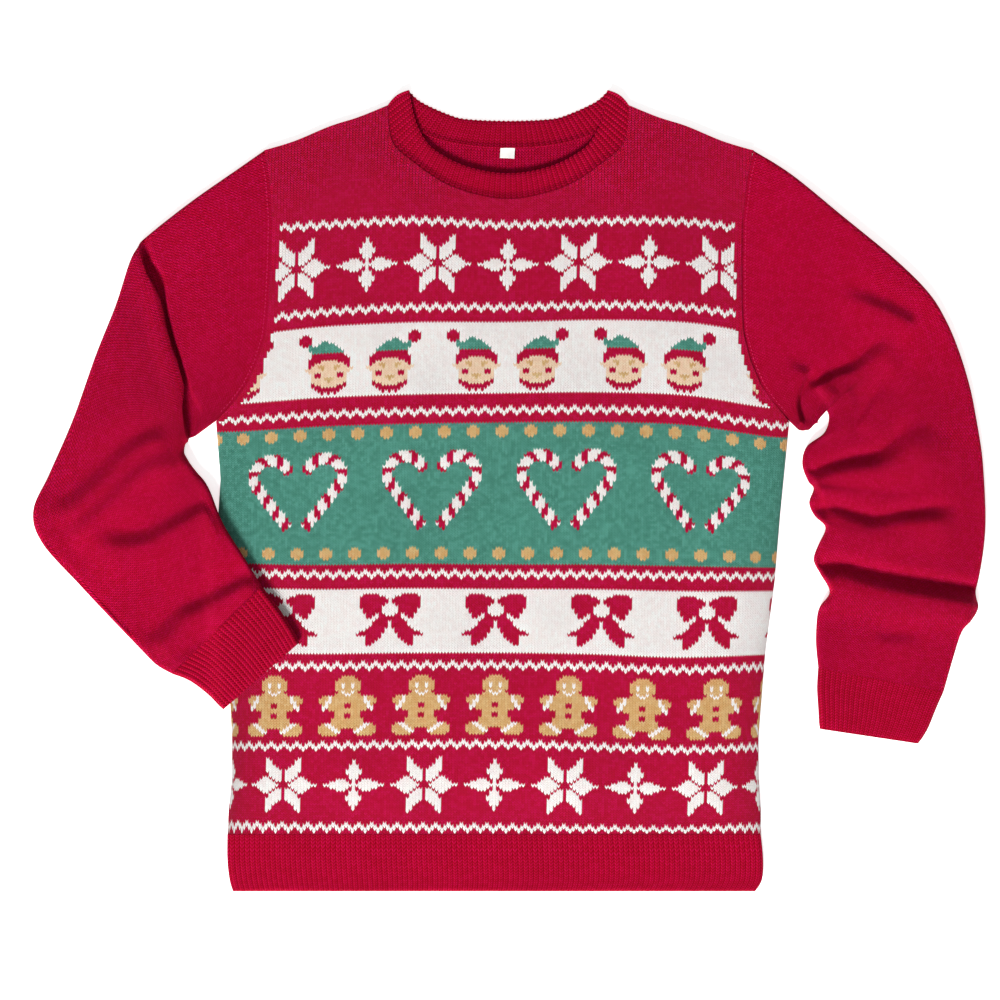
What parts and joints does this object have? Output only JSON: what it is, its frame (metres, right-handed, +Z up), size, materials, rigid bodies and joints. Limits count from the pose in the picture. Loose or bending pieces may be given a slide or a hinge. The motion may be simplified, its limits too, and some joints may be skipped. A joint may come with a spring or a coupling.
{
  "type": "knitted crew-neck christmas sweater",
  "caption": "Long-sleeved crew-neck knitted sweater laid flat with its front up, one sleeve bent over the body; ribbed neck, cuffs and hem, festive bands across the front.",
  "frame": {"origin": "centre of the bounding box's bottom face, on the surface that the sweater lies on", "axes": "+X across the chest from the bent sleeve to the straight one, +Y from the hem to the neck, +Z up out of the front"},
  "size_m": [0.8319, 0.7008, 0.0148],
  "materials": {
    "red_knit": "matt stocking-stitch knit in red acrylic yarn",
    "front_knit": "matt jacquard knit in red, off-white, green and tan acrylic yarn",
    "red_rib": "matt one-by-one rib in red acrylic yarn",
    "label": "white woven satin ribbon"
  },
  "bodies": {
    "root": {"back_panel": "red_knit", "front_panel": "front_knit", "sleeve_bent": "red_knit", "sleeve_straight": "red_knit", "cuff_bent": "red_rib", "cuff_straight": "red_rib", "hem_rib_front": "red_rib", "hem_rib_back": "red_rib", "neckband_front": "red_rib", "neckband_back": "red_rib", "neck_label": "label"}
  },
  "joints": []
}
